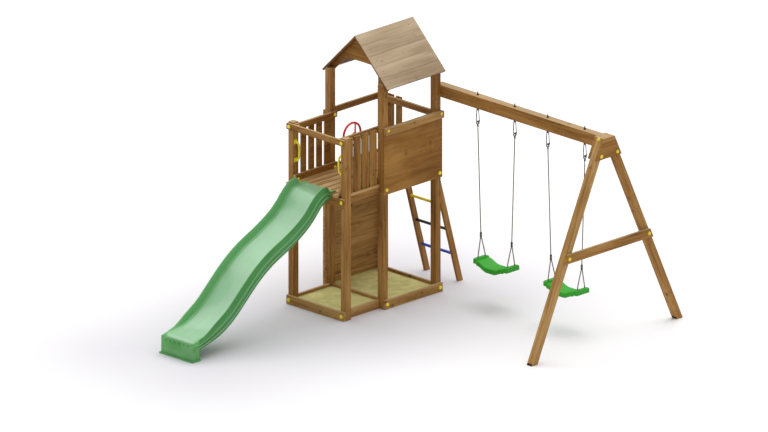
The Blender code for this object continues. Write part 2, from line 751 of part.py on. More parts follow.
def make_wheel():
    """A three-spoked wheel that turns on the pin in the right railing, drawn round its own axis."""
    rim = wire(arc((-WHEEL_DISH, 0, 0), WHEEL_RADIUS, 0, 345, 23, "YZ"), WHEEL_RIM, closed=True)
    shapes = [rim, rod((0, 0, 0), (-WHEEL_HUB_LONG, 0, 0), WHEEL_HUB, 20)]
    inner = Vector((-WHEEL_HUB_LONG * 0.6, 0.6 * WHEEL_HUB, 0))
    outer = Vector((-WHEEL_DISH, WHEEL_RADIUS, 0))
    for index in range(WHEEL_SPOKES):
        angle = math.radians(WHEEL_TURN + 360 * index / WHEEL_SPOKES)
        spoke = rod(inner, outer, 0.9 * WHEEL_RIM, 8, 0.7 * WHEEL_RIM)
        spoke.transform(Matrix.Rotation(angle, 4, "X"))
        shapes.append(spoke)
    bore = rod((0.01, 0, 0), (-WHEEL_HUB_LONG - 0.01, 0, 0), WHEEL_PIN + TOUCH)
    wheel = place("steering_wheel", cut(unite(shapes), [bore]), RED, smooth=True)
    wheel.location = (X_IN - TOUCH - BOARD - TOUCH, FRONT_FACE + WHEEL_ALONG, WHEEL_HEIGHT)


def make_ladder():
    """Two leaning stiles with four round rungs let into them."""
    slant = math.hypot(1, LADDER_LEAN)
    half = STILE_DEEP * slant / 2
    foot = REAR_INNER + LADDER_FOOT
    seat = REAR_INNER + 2 * (BOARD + TOUCH)

    def leaning(y, z):
        return y - LADDER_LEAN * z

    meet = (foot - half - seat) / LADDER_LEAN
    outline = [(foot - half, 0.0), (foot + half, 0.0), (leaning(foot + half, STILE_TOP), STILE_TOP)]
    outline += [(seat, STILE_TOP), (seat, meet)]
    right_x = X_IN - TOUCH - STILE_THICK
    left_x = X_IN - TOUCH - LADDER_WIDTH
    rungs = []
    for index in range(4):
        z = RUNG_FIRST + RUNG_PITCH * index
        rungs.append((leaning(foot, z), z))
    for name, x, inside in (("left", left_x, left_x + STILE_THICK), ("right", right_x, right_x)):
        toward = 1 if name == "left" else -1
        sockets = []
        for y, z in rungs:
            start = (inside - toward * RUNG_SOCKET, y, z)
            sockets.append(rod(start, (inside + toward * RUNG_SOCKET, y, z), RUNG + RUNG_FIT))
        stile = cut(prism(outline, "X", x, x + STILE_THICK), sockets)
        place(f"ladder_stile_{name}", stile, TIMBER)
    start = left_x + STILE_THICK - RUNG_SOCKET + TOUCH
    end = right_x + RUNG_SOCKET - TOUCH
    for index, ((y, z), finish) in enumerate(zip(rungs, (BLUE, BLACK, YELLOW, RED))):
        place(f"ladder_rung_{index + 1}", rod((start, y, z), (end, y, z), RUNG), finish, smooth=True)


def hang_points():
    places = []
    for swing in range(2):
        centre = SWING_FIRST + SWING_PITCH * swing
        places += [centre - HANG_SPACING / 2, centre + HANG_SPACING / 2]
    return places


def make_swing_frame():
    """The beam, its two legs, the cross brace and the plates that join them."""
    low = (X_IN, BEAM_Y - BEAM_WIDE / 2, BEAM_BOTTOM)
    beam = box(low, (FRAME_REACH, BEAM_Y + BEAM_WIDE / 2, BEAM_TOP))
    holes = []
    for x in hang_points():
        start = (x, BEAM_Y, BEAM_BOTTOM - BEAM_HIGH)
        holes.append(rod(start, (x, BEAM_Y, BEAM_TOP + BEAM_HIGH), BOLT_SHANK + BOLT_HOLE_FIT))
    place("swing_beam", cut(beam, holes), TIMBER)

    half = LEG * math.hypot(1, LEG_SLOPE) / 2
    side = BEAM_WIDE / 2 + TOUCH

    def outer(z):
        return LEG_SPREAD + half - LEG_SLOPE * z

    meet = (LEG_SPREAD - half - side) / LEG_SLOPE
    leg = [(LEG_SPREAD - half, 0.0), (outer(0.0), 0.0), (outer(BEAM_TOP), BEAM_TOP)]
    leg += [(side, BEAM_TOP), (side, meet)]
    for name, sign in (("front", -1), ("rear", 1)):
        outline = [(BEAM_Y + sign * y, z) for y, z in leg]
        place(f"swing_leg_{name}", prism(outline, "X", FRAME_REACH - LEG, FRAME_REACH), TIMBER)

    brace_top = BRACE_BOTTOM + BOARD_HIGH
    brace = [(outer(BRACE_BOTTOM), BRACE_BOTTOM), (outer(brace_top), brace_top)]
    brace += [(-y, z) for y, z in reversed(brace)]
    start = FRAME_REACH + TOUCH
    outline = [(BEAM_Y + y, z) for y, z in brace]
    place("cross_brace", prism(outline, "X", start, start + BOARD), TIMBER)

    plate = [(outer(PLATE_BOTTOM), PLATE_BOTTOM), (outer(BEAM_TOP), BEAM_TOP)]
    whole = plate + [(-y, z) for y, z in reversed(plate)]
    outline = [(BEAM_Y + y, z) for y, z in whole]
    place("apex_plate_outer", prism(outline, "X", start, start + BOARD), TIMBER)
    rest = BEAM_BOTTOM - TOUCH
    notch = [(side, BEAM_TOP), (side, rest), (-side, rest), (-side, BEAM_TOP)]
    saddle = plate + notch + [(-y, z) for y, z in reversed(plate)]
    outline = [(BEAM_Y + y, z) for y, z in saddle]
    end = FRAME_REACH - LEG - TOUCH
    place("apex_plate_inner", prism(outline, "X", end - BOARD, end), TIMBER)


def eyebolt():
    """A forged eye with a washer under the beam and a nut on top, drawn round the swing's axis."""
    centre = EYE_HEIGHT - HINGE_HEIGHT
    under = BEAM_BOTTOM - HINGE_HEIGHT - TOUCH
    over = BEAM_TOP - HINGE_HEIGHT + TOUCH
    eye = wire(arc((0, 0, centre), EYE_RADIUS, 0, 330, 11, "YZ"), EYE_WIRE, closed=True, detail=1)
    shank = rod((0, 0, centre + EYE_RADIUS), (0, 0, over + BOLT_TAIL), BOLT_SHANK, 10)
    washer = rod((0, 0, under - WASHER_THICK), (0, 0, under), WASHER)
    nut = rod((0, 0, over), (0, 0, over + NUT_HIGH), NUT, 6)
    return unite([eye, shank, washer, nut])


def gate_pivot():
    """The hinge of the gate, beside the end of the hook's basket, from the top of the hook."""
    end = Vector((0, 0, -HOOK_BOW - HOOK_LONG)) + HOOK_BASKET * Vector((BASKET_COS, 0, BASKET_SIN))
    return end + (GATE_KNUCKLE + TOUCH) * Vector((-BASKET_SIN, 0, BASKET_COS))


def hook():
    """A pear-shaped snap hook, drawn from the top of its bow, open on its +X side for the gate."""
    tilt = math.degrees(math.asin((HOOK_BASKET - HOOK_BOW) / HOOK_LONG))
    low = -HOOK_BOW - HOOK_LONG
    top = arc((0, 0, -HOOK_BOW), HOOK_BOW, tilt, 180 - tilt, 8)
    bottom = arc((0, 0, low), HOOK_BASKET, 180 - tilt, 360 + BASKET_END, 11)
    pivot = gate_pivot()
    nose = top[0] + (pivot - top[0]).normalized() * HOOK_NOSE
    shapes = [wire([nose] + top + bottom, HOOK_WIRE, detail=1)]
    for side in (-1, 1):
        near = side * (KNUCKLE_HALF + TOUCH)
        far = side * (HOOK_WIRE + TOUCH)
        shapes.append(rod((pivot.x, near, pivot.z), (pivot.x, far, pivot.z), GATE_KNUCKLE, 10))
        low_corner = (pivot.x - 0.8 * GATE_KNUCKLE, min(near, far), pivot.z - 2 * GATE_KNUCKLE)
        shapes.append(box(low_corner, (pivot.x + 0.8 * GATE_KNUCKLE, max(near, far), pivot.z), 0.0))
    return unite(shapes)


def gate():
    """The sprung gate of a hook: a rod on a flat knuckle, drawn round its own hinge."""
    pivot = gate_pivot()
    tilt = math.asin((HOOK_BASKET - HOOK_BOW) / HOOK_LONG)
    bow = Vector((HOOK_BOW * math.cos(tilt), 0, HOOK_BOW * (math.sin(tilt) - 1)))
    toward = bow - pivot
    length = toward.length - HOOK_NOSE - GATE_FREE
    toward.normalize()
    knuckle = rod((0, -KNUCKLE_HALF, 0), (0, KNUCKLE_HALF, 0), GATE_KNUCKLE, 12)
    thick = 0.8 * GATE_ROD
    neck = box((-thick, -KNUCKLE_HALF, 0.0), (thick, KNUCKLE_HALF, 2 * GATE_KNUCKLE), 0.0)
    neck.transform(Vector((0, 0, 1)).rotation_difference(toward).to_matrix().to_4x4())
    bar = rod(toward * (GATE_KNUCKLE + 3 * TOUCH), toward * length, GATE_ROD, 8)
    return unite([knuckle, neck, bar])


def rope(side):
    """A rope from its eye in the hook down to the fork, and on to a knot under each seat hole."""
    x = side * HANG_SPACING / 2
    eye_top = -HOOK_BOW - HOOK_LONG - HOOK_BASKET + HOOK_WIRE + TOUCH + ROPE
    centre = eye_top - ROPE_EYE
    eye = wire(arc((x, 0, centre), ROPE_EYE, 0, 330, 11, "YZ"), ROPE, closed=True, detail=1)
    fork = Vector((side * CLAMP_SPACING / 2, 0, CLAMP_HEIGHT - HINGE_HEIGHT))
    shapes = [eye, wire([(x, 0, centre - ROPE_EYE), fork], ROPE)]
    pad = SEAT_HEIGHT + SEAT_RISE - HINGE_HEIGHT
    under = pad - SEAT_WALL - TOUCH - KNOT
    hole_x = side * SEAT_HOLES / 2
    for across in (-1, 1):
        y = across * SEAT_HOLE_ACROSS / 2
        shapes.append(wire([fork, (hole_x, y, pad + 4 * ROPE), (hole_x, y, under)], ROPE))
        shapes.append(ball((hole_x, y, under), KNOT))
    return unite(shapes)


def seat_section(half_wide, dish):
    """The closed outline across the seat: a dished top, rolled edges and a skirt."""
    skirt, wall = SEAT_SKIRT, SEAT_WALL
    top = [
        (0.0, -dish),
        (0.45 * half_wide, -0.75 * dish),
        (0.72 * half_wide, -0.20 * dish),
        (half_wide - 0.014, 0.0),
        (half_wide - 0.005, -0.003),
        (half_wide, -0.011),
        (half_wide, -skirt),
    ]
    under = [(across, up - wall) for across, up in top[:3]]
    under += [(top[3][0] - 0.2 * wall, -wall), (top[4][0] - 0.7 * wall, -0.003 - wall)]
    under += [(half_wide - wall, -0.011 - 0.7 * wall), (half_wide - wall, -skirt)]
    left_top = [(-across, up) for across, up in reversed(top[1:])]
    left_under = [(-across, up) for across, up in under[1:]]
    return top + under[::-1] + left_under + left_top


def seat():
    """A moulded seat, low in its middle, with raised ends that the four rope tails pass through."""
    end = SEAT_LONG / 2
    pad = SEAT_HEIGHT + SEAT_RISE - HINGE_HEIGHT
    places = [SEAT_FLAT + (SEAT_PAD - SEAT_FLAT) * step / 6 for step in range(7)]
    places = [0.0] + places + [SEAT_PAD + SEAT_STEP_RUN, end - SEAT_CORNER, end - 0.3 * SEAT_CORNER, end]
    places = [-place_x for place_x in reversed(places[1:])] + places
    sections = []
    for x in places:
        slope = smooth_step((abs(x) - SEAT_FLAT) / (SEAT_PAD - SEAT_FLAT))
        step = smooth_step((abs(x) - SEAT_PAD) / SEAT_STEP_RUN)
        up = slope + (step - slope) * SEAT_STEP / SEAT_RISE
        past = max(abs(x) - end + SEAT_CORNER, 0.0)
        round_off = SEAT_CORNER - math.sqrt(max(SEAT_CORNER**2 - past**2, 0.0))
        outline = seat_section(SEAT_WIDE / 2 - round_off, SEAT_DISH * (1 - up))
        base = pad - SEAT_RISE * (1 - up)
        sections.append([(x, across, base + rise) for across, rise in outline])
    shapes = [loft(sections)]
    half = SEAT_WIDE / 2 - SEAT_CORNER
    for side in (-1, 1):
        near, far = side * (end - SEAT_WALL), side * (end - SINK)
        low = (min(near, far), -half, pad - SEAT_SKIRT)
        shapes.append(box(low, (max(near, far), half, pad - SEAT_WALL / 2), 0.0))
    holes = []
    for side in (-1, 1):
        for across in (-1, 1):
            x, y = side * SEAT_HOLES / 2, across * SEAT_HOLE_ACROSS / 2
            start = (x, y, pad - SEAT_SKIRT)
            holes.append(rod(start, (x, y, pad + SEAT_SKIRT), ROPE + SEAT_HOLE_FIT))
    return cut(unite(shapes), holes)


def make_swings():
    """Each swing hangs from two eyebolts and turns about the line through its two hooks."""
    bolt, hook_shape, gate_shape, seat_shape = eyebolt(), hook(), gate(), seat()
    ropes = {"left": rope(-1), "right": rope(1)}
    pivot = gate_pivot()
    for number in (1, 2):
        x = SWING_FIRST + SWING_PITCH * (number - 1)
        axle = bpy.data.objects.new(f"swing_{number}_pivot", None)
        axle.location = (x, BEAM_Y, HINGE_HEIGHT)
        bpy.context.scene.collection.objects.link(axle)
        for side, offset in (("left", -HANG_SPACING / 2), ("right", HANG_SPACING / 2)):
            fixed = place(f"eyebolt_{number}_{side}", bolt.copy(), STEEL, smooth=True)
            fixed.location = (x + offset, BEAM_Y, HINGE_HEIGHT)
            hanging = place(f"snap_hook_{number}_{side}", hook_shape.copy(), STEEL, smooth=True)
            hanging.location = (offset, 0, 0)
            swinging = place(f"hook_gate_{number}_{side}", gate_shape.copy(), STEEL, smooth=True)
            swinging.location = (offset + pivot.x, 0, pivot.z)
            line = place(f"rope_{number}_{side}", ropes[side].copy(), ROPE_GREY, smooth=True)
            for piece in (hanging, swinging, line):
                piece.parent = axle
        moulded = place(f"swing_seat_{number}", seat_shape.copy(), SEAT_GREEN, smooth=True)
        moulded.parent = axle


make_posts()
make_base()
make_sand()
make_deck()
make_railings()
make_walls()
make_roof()
make_slide()
make_handles()
make_wheel()
make_ladder()
make_swing_frame()
make_swings()
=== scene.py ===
"""The play tower as it is seen: stained pine, moulded plastic, plated steel, rope and sand, in a studio."""

import math

import bmesh
import bpy
from mathutils import Matrix, Vector


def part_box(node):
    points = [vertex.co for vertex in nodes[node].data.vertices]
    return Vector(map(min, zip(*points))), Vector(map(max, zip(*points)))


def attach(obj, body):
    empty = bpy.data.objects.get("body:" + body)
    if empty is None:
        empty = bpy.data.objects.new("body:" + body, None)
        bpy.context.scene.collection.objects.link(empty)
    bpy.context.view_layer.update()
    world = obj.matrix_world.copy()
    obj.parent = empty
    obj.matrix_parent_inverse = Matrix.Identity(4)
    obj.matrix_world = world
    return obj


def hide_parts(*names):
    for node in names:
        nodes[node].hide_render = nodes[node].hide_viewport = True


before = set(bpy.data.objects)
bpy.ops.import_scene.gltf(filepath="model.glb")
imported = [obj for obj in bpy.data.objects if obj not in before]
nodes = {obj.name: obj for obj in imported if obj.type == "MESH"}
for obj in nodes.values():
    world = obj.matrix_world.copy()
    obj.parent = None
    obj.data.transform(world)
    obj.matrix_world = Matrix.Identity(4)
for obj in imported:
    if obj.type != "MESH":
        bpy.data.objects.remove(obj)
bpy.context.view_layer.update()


def middle(node):
    """The middle of a node's box."""
    low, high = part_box(node)
    return (low + high) / 2


# Directions
FRONT = (0, -1, 0)
BACK = (0, 1, 0)
LEFT = (-1, 0, 0)
RIGHT = (1, 0, 0)
UP = (0, 0, 1)
SIDES = (-1, 1)

# Places taken from the solids
POST_LOW, POST_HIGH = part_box("post_front_right")
POST = POST_HIGH.x - POST_LOW.x
X_IN = POST_LOW.x
X_OUT = POST_HIGH.x
X_POST = X_OUT - POST / 2
FRONT_Y = middle("post_front_right").y
REAR_Y = middle("post_rear_right").y
DECK_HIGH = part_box("deck")[1]
RAIL_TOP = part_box("front_rail")[1].z
SLATS_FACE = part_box("slat_panel_right")[1].x
RAILS_INNER_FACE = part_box("slat_panel_left")[1].x
WALL_LOW, WALL_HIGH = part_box("climbing_wall")
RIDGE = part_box("roof_slope_right")[1].z
SLIDE_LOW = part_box("slide")[0]
BEAM_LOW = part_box("swing_beam")[0]
BEAM_Y = middle("swing_beam").y
LEG_X = middle("swing_leg_front").x
LEG_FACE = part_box("cross_brace")[1].x
BRACE_Z = middle("cross_brace").z

# Sizes that the solids have, and edges of their finishes
HAIR = 0.0002  # keeps the edge of a finish clear of a face
DECK_BOARDS = 7
DECK_PITCH = 2 * X_IN / DECK_BOARDS
DECK_UNDER = DECK_HIGH.z - 0.0264  # just below the deck's boards
SLATS = 4
SLAT = 0.069
SLAT_PITCH = (-POST - FRONT_Y) / SLATS
SLAT_START = FRONT_Y + POST / 2 + 0.0023
PANEL_MIDDLE = 1.5  # height between the two rails of a slatted panel
REAR_SLATS_APART = -0.2  # the X between the rear railing's two slats
SHEET_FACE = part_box("post_mid_right")[1].x + 0.0203  # the sheet and the gap behind it
SHEET_RAIL_HIGH = 0.068
WALL_PLANKS = 10
WALL_PLANK = WALL_HIGH.z / WALL_PLANKS
HOLDS_BEYOND = WALL_HIGH.x - 0.0287  # just outside the planks, where only holds are
HOLD_RISE = 0.135 * WALL_HIGH.z
FIRST_HOLD = 0.76  # how many rises up the first hold's colour starts
ROOF_BOARDS = 5
ROOF_BOARD = 0.1245
ROOF_SLOPE = math.sqrt(0.5)  # sine and cosine of 45 degrees
LEG_SLOPE = 0.458
LEG_SPREAD = 0.982  # from the beam's middle to a leg's, at the ground
LADDER_SLOPE = 0.28
SLIDE_BED = 0.183  # half width
SLIDE_RIM = 0.203  # half width at the top of the side walls
SLIDE_RIDGE = 0.2145  # half width where the ridges begin
SLIDE_RUN = SLIDE_LOW.y + 0.025  # where the foot's front ends and the bed starts
SLIDE_FOOT_BACK = SLIDE_LOW.y + 0.105

# Colours, and the stains' three tones from dark to light
STAIN = ((0.157, 0.062, 0.010), (0.314, 0.146, 0.030), (0.465, 0.252, 0.075))
BRIGHT_STAIN = ((0.200, 0.092, 0.022), (0.385, 0.205, 0.058), (0.550, 0.340, 0.130))
DARK_STAIN = ((0.130, 0.047, 0.005), (0.262, 0.112, 0.016), (0.410, 0.205, 0.045))
# painted shade: the darker stain on the roof's underside
SHADED_STAIN = ((0.085, 0.033, 0.008), (0.170, 0.072, 0.018), (0.260, 0.120, 0.035))
DECK_STAIN = ((0.320, 0.175, 0.058), (0.530, 0.330, 0.136), (0.680, 0.470, 0.230))
PALE = ((0.265, 0.182, 0.105), (0.425, 0.313, 0.197), (0.555, 0.432, 0.290))
TONE_STOPS = (0.10, 0.46, 0.86)
SEAM = (0.070, 0.030, 0.008)
# painted top light: the pale tone laid on timber faces that point up
PAINTED_TOP_LIGHT = (0.520, 0.410, 0.250)
SLIDE_GREEN = (0.112, 0.405, 0.106)
# The slide's painted light and shade: a pale bed of wear and painted sheen, paler walls and ridges as
# painted light, and a darker skirt as painted shade.
SLIDE_SHEEN_AND_WEAR = (0.290, 0.500, 0.325)
SLIDE_PAINTED_LIGHT = (0.190, 0.510, 0.200)
SLIDE_PAINTED_SHADE = (0.045, 0.225, 0.048)
ROPE_SHADE = (0.125, 0.100, 0.068)
ROPE_LIGHT = (0.300, 0.250, 0.185)
SAND_SHADE = (0.450, 0.400, 0.140)
SAND_LIGHT = (0.790, 0.745, 0.320)
HOLD_RED = (0.55, 0.02, 0.02)
HOLD_COLOURS = (HOLD_RED, (0.02, 0.10, 0.50), (0.70, 0.56, 0.02), (0.05, 0.34, 0.06), HOLD_RED)
# painted shadow: the darker, cooler floor tone round the tower and its slide
FLOOR_PAINTED_SHADOW = (0.635, 0.620, 0.655)
FLOOR_PALE = (0.930, 0.925, 0.935)


def toned(colour, factor, lift=0.0):
    """A colour made darker or lighter."""
    return [min(value * factor + lift, 1.0) for value in colour]


def opaque(colour):
    """A colour as a socket takes it."""
    return colour if isinstance(colour, Signal) else (*colour, 1.0)


def fill_ramp(ramp, stops):
    """Give a colour ramp its stops, each a position and a colour."""
    while len(ramp.elements) < len(stops):
        ramp.elements.new(0.5)
    for element, (position, colour) in zip(ramp.elements, stops):
        element.position = position
        element.color = opaque(colour)


class Signal:
    """A value on its way through a material. Arithmetic on it adds Math nodes."""

    def __init__(self, tree, socket=None):
        self.tree = tree
        self.socket = socket

    def node(self, kind, settings=None, sockets=None, output=0):
        """Add a node of any kind: its settings first, then the values or links of its sockets."""
        made = self.tree.nodes.new("ShaderNode" + kind)
        for name, value in (settings or {}).items():
            if name == "stops":
                fill_ramp(made.color_ramp, value)
            elif name == "interpolation":
                made.color_ramp.interpolation = value
            else:
                setattr(made, name, value)
        for key, value in (sockets or {}).items():
            if isinstance(value, Signal):
                self.tree.links.new(value.socket, made.inputs[key])
            else:
                made.inputs[key].default_value = value
        return Signal(self.tree, made.outputs[output])

    def math(self, operation, *values):
        """A Math node on these values, in their order."""
        return self.node("Math", {"operation": operation}, dict(enumerate(values)))

    def __add__(self, other):
        return self.math("ADD", self, other)

    def __radd__(self, other):
        return self.math("ADD", other, self)

    def __sub__(self, other):
        return self.math("SUBTRACT", self, other)

    def __rsub__(self, other):
        return self.math("SUBTRACT", other, self)

    def __mul__(self, other):
        return self.math("MULTIPLY", self, other)

    def __rmul__(self, other):
        return self.math("MULTIPLY", other, self)

    def __truediv__(self, other):
        return self.math("DIVIDE", self, other)

    def __pow__(self, other):
        return self.math("POWER", self, other)

    def __abs__(self):
        return self.math("ABSOLUTE", self)

    def floor(self):
        return self.math("FLOOR", self)

    def fraction(self):
        return self.math("FRACT", self)

    def sine(self):
        return self.math("SINE", self)

    def root(self):
        return self.math("SQRT", self)

    def above(self, value):
        return self.math("GREATER_THAN", self, value)

    def below(self, value):
        return self.math("LESS_THAN", self, value)

    def larger(self, other):
        """The larger of two values, or one mask joined with another."""
        return self.math("MAXIMUM", self, other)

    def ease(self, low, high):
        """0 below low, 1 above high, and a soft step between them."""
        settings = {"interpolation_type": "SMOOTHSTEP"}
        return self.node("MapRange", settings, {"Value": self, "From Min": low, "From Max": high})

    def pick(self, yes, no):
        """One value where this mask is 1, and the other where it is 0."""
        return no + (yes - no) * self

    def split(self):
        """The X, Y and Z of a place or a direction."""
        made = self.node("SeparateXYZ", sockets={0: self}).socket.node
        return [Signal(self.tree, part) for part in made.outputs]

    def join(self, x, y, z):
        return self.node("CombineXYZ", sockets={0: x, 1: y, 2: z})

    def along(self, direction):
        return self.node("VectorMath", {"operation": "DOT_PRODUCT"}, {0: self, 1: direction}, "Value")

    def facing(self):
        """The X, Y and Z of the way the surface faces."""
        return self.node("NewGeometry", output="Normal").split()

    def noise(self, at, scale=1.0, detail=2.0, roughness=0.5):
        sockets = {"Vector": at, "Scale": scale, "Detail": detail, "Roughness": roughness}
        return self.node("TexNoise", sockets=sockets, output="Fac")

    def blend(self, colour, other):
        """A colour mix, with this signal as its factor."""
        return self.node("Mix", {"data_type": "RGBA"}, {0: self, 6: opaque(colour), 7: opaque(other)}, 2)


def material(name, colour, roughness, metallic=0.0, coat=0.0, specular=0.5):
    """A Principled material, with its own position signal to build patterns from."""
    made = bpy.data.materials.new(name)
    made.use_nodes = True
    shader = made.node_tree.nodes["Principled BSDF"]
    shader.inputs["Base Color"].default_value = opaque(colour)
    shader.inputs["Roughness"].default_value = roughness
    shader.inputs["Metallic"].default_value = metallic
    shader.inputs["Specular IOR Level"].default_value = specular
    shader.inputs["Coat Weight"].default_value = coat
    shader.inputs["Coat Roughness"].default_value = 0.12
    place = Signal(made.node_tree).node("TexCoord", output="Object")
    return made, place, shader


def reopen(made):
    """A finished material's position signal, its shader, and the colour that feeds it."""
    shader = made.node_tree.nodes["Principled BSDF"]
    colour = Signal(made.node_tree, shader.inputs["Base Color"].links[0].from_socket)
    return colour.node("TexCoord", output="Object"), shader, colour


def feed(shader, name, signal):
    signal.tree.links.new(signal.socket, shader.inputs[name])


def bump(shader, height, strength, distance):
    made = height.node("Bump", sockets={"Strength": strength, "Distance": distance, "Height": height})
    feed(shader, "Normal", made)


def stained(tone, tones):
    """The colour of a stain where the wood has this tone."""
    return tone.node("ValToRGB", {"stops": list(zip(TONE_STOPS, tones))}, {0: tone})


def timber(name, layout, tones=STAIN, figured=1.0, second=None, seams=None, tops=0.5):
    """Stained pine, with its rings, streaks, fibres and knots.

    The layout turns a place into its distance along the grain, two across it, and a board's number.
    Figured is how bold the figure is. Second is a mask and the tones of what it covers, seams is the
    mask of the joints, and tops is how strongly what faces up is made paler, as painted top light.
    """
    made, place, shader = material(name, tones[1], 0.66, specular=0.22)
    along, across, deep, board = layout(place)
    along = along + board * 7.31
    across = across + board * 1.37
    deep = deep + board * 0.83

    def drawn_out(lengthwise, crosswise, detail, roughness=0.5):
        at = place.join(along * lengthwise, across * crosswise, deep * crosswise)
        return place.noise(at, detail=detail, roughness=roughness)

    at = place.join(along, across, deep)
    knot = place.node("TexVoronoi", sockets={"Vector": at, "Scale": 5.5}, output="Distance")
    near = 1.0 - knot.ease(0.0, 0.42)
    figure = drawn_out(0.5, 6.0, 1.5)
    wander = drawn_out(2.5, 30.0, 2.0)
    streak = drawn_out(1.6, 42.0, 3.0, 0.6)
    fibre = drawn_out(6.0, 260.0, 3.0, 0.6)
    broad = drawn_out(1.2, 4.0, 2.0)
    plank = place.noise(place.join(board * 0.77, 0.3, 0.6), scale=5.0)
    rings = (figure * 11.0 + wander * 0.9 + near * 1.5) * math.tau
    late = (rings.sine() * 0.5 + 0.5) ** 3.0

    tone = 0.50 + (broad - 0.5) * (1.8 - 0.85 * figured) + (streak - 0.5) * (1.15 * figured)
    tone = tone + (fibre - 0.5) * 0.45 + (plank - 0.5) * (0.5 * figured) - late * (0.13 * figured)
    colour = stained(tone, tones)
    if second:
        mask, second_tones = second
        colour = mask(place).blend(colour, stained(tone, second_tones))
    # Painted top light: faces that point up are made paler, as if lit from above.
    painted_top_light = place.facing()[2].ease(0.80, 0.97) * tops
    colour = painted_top_light.blend(colour, PAINTED_TOP_LIGHT)
    heart = 1.0 - knot.ease(0.045, 0.085)
    ring = (1.0 - knot.ease(0.085, 0.16)) * 0.35
    knots = (heart * 0.85).larger(ring) * figured
    colour = knots.blend(colour, toned(tones[0], 0.42))
    if seams:
        colour = seams(place).blend(colour, SEAM)
    feed(shader, "Base Color", colour)
    feed(shader, "Roughness", 0.58 + late * 0.10 + fibre * 0.12)
    bump(shader, fibre * 0.6 + streak * 0.3 - late * 0.4 - heart * 1.2, 0.30, 0.0012)
    return made


def grain(direction, side, other):
    """A layout for pieces that all run one way."""

    def layout(place):
        return place.along(direction), place.along(side), place.along(other), 0.0

    return layout


def leaning(run):
    """A layout for a piece that leans in the Y-Z plane, by that much run for each unit of rise."""
    length = math.hypot(1, run)
    return grain((0, run / length, 1 / length), (1, 0, 0), (0, 1 / length, -run / length))


GRAIN_X = grain((1, 0, 0), (0, 1, 0), (0, 0, 1))
GRAIN_Y = grain((0, 1, 0), (1, 0, 0), (0, 0, 1))
GRAIN_Z = grain((0, 0, 1), (1, 0, 0), (0, 1, 0))


def deck_frame(place):
    """The beams and the front board, under the deck's own boards."""
    return place.split()[2].below(DECK_UNDER)


def deck_layout(place):
    """The deck's boards and side beams run along Y, and the beams under the boards along X."""
    x, y, z = place.split()
    board = ((x + X_IN) / DECK_PITCH).floor()
    within = abs(x).below(X_IN - HAIR).larger(y.below(FRONT_Y))
    cross = deck_frame(place) * within
    return cross.pick(x, y), cross.pick(y, x), z, board * (1.0 - cross)


def deck_seams(place):
    """The dark gaps between the deck's boards."""
    x, y, z = place.split()
    edge = abs(((x + X_IN) / DECK_PITCH).fraction() - 0.5)
    return edge.ease(0.41, 0.465) * z.above(DECK_UNDER) * 0.85


def panel_layout(place):
    """The slatted panels: the rails run along Y inside the posts, and the slats stand outside them."""
    x, y, z = place.split()
    rail = abs(x).below(X_IN - HAIR / 2)
    gap = SLAT_PITCH - SLAT
    slat = ((y - (SLAT_START - gap / 2)) / SLAT_PITCH).floor() + 3.0
    upper = z.above(PANEL_MIDDLE)
    return rail.pick(y, z), rail.pick(z, y), x, rail.pick(upper * 2.0 + 11.0, slat)


def slat_edges(place):
    """The slats' paler edges, which face along Y."""
    return abs(place.facing()[1]).above(0.9)


def rear_layout(place):
    """The rear railing: a rail along X, and two slats that stand behind it."""
    x, y, z = place.split()
    rail = y.below(DECK_HIGH.y + HAIR)
    slat = x.above(REAR_SLATS_APART) + 5.0
    return rail.pick(x, z), rail.pick(z, x), y, rail.pick(9.0, slat)


def wall_layout(place):
    """The climbing wall's planks, which lie along Y."""
    x, y, z = place.split()
    return y, z, x, (z / WALL_PLANK).floor()


def sheet_rail(place):
    """The rail along the top of the side sheet."""
    x, y, z = place.split()
    return z.above(RAIL_TOP - SHEET_RAIL_HIGH) * x.above(SHEET_FACE + HAIR)


def sheet_layout(place):
    """The side panel: one wide sheet with a bold figure, and a rail along its top."""
    x, y, z = place.split()
    rail = sheet_rail(place)
    return y, rail.pick(z, z * 0.55), x, rail * 6.0


def roof_layout(sign):
    """Boards that lie across a slope of the roof, for the right slope with 1 and the left with -1."""

    def layout(place):
        y = place.split()[1]
        down = place.along((sign * ROOF_SLOPE, 0, -ROOF_SLOPE))
        deep = place.along((sign * ROOF_SLOPE, 0, ROOF_SLOPE))
        board = ((down + RIDGE * ROOF_SLOPE) / ROOF_BOARD).floor()
        return y, down, deep, board + 2.0 * sign

    return layout


def roof_underside(sign):
    """What is seen of a slope from below."""

    def mask(place):
        return place.along((sign * ROOF_SLOPE, 0, ROOF_SLOPE)).below(RIDGE * ROOF_SLOPE - 0.004)

    return mask


def roof_finish(name, sign):
    """Pale boards whose joints hardly show, and underneath a darker shaded stain as painted shade."""
    return timber(name, roof_layout(sign), PALE, 0.4, (roof_underside(sign), SHADED_STAIN), tops=0.0)


def plastic(name, colour, roughness, coat=0.25):
    """Moulded plastic with a fine grain and a little wear."""
    made, place, shader = material(name, colour, roughness, coat=coat, specular=0.32)
    cloud = place.noise(place, scale=4.0, detail=4.0)
    fine = place.noise(place, scale=420.0, detail=1.0)
    shades = cloud.ease(0.25, 0.75).blend(toned(colour, 0.86), toned(colour, 1.18, 0.01))
    feed(shader, "Base Color", shades)
    feed(shader, "Roughness", roughness + (cloud - 0.5) * 0.12)
    bump(shader, fine, 0.10, 0.0004)
    return made


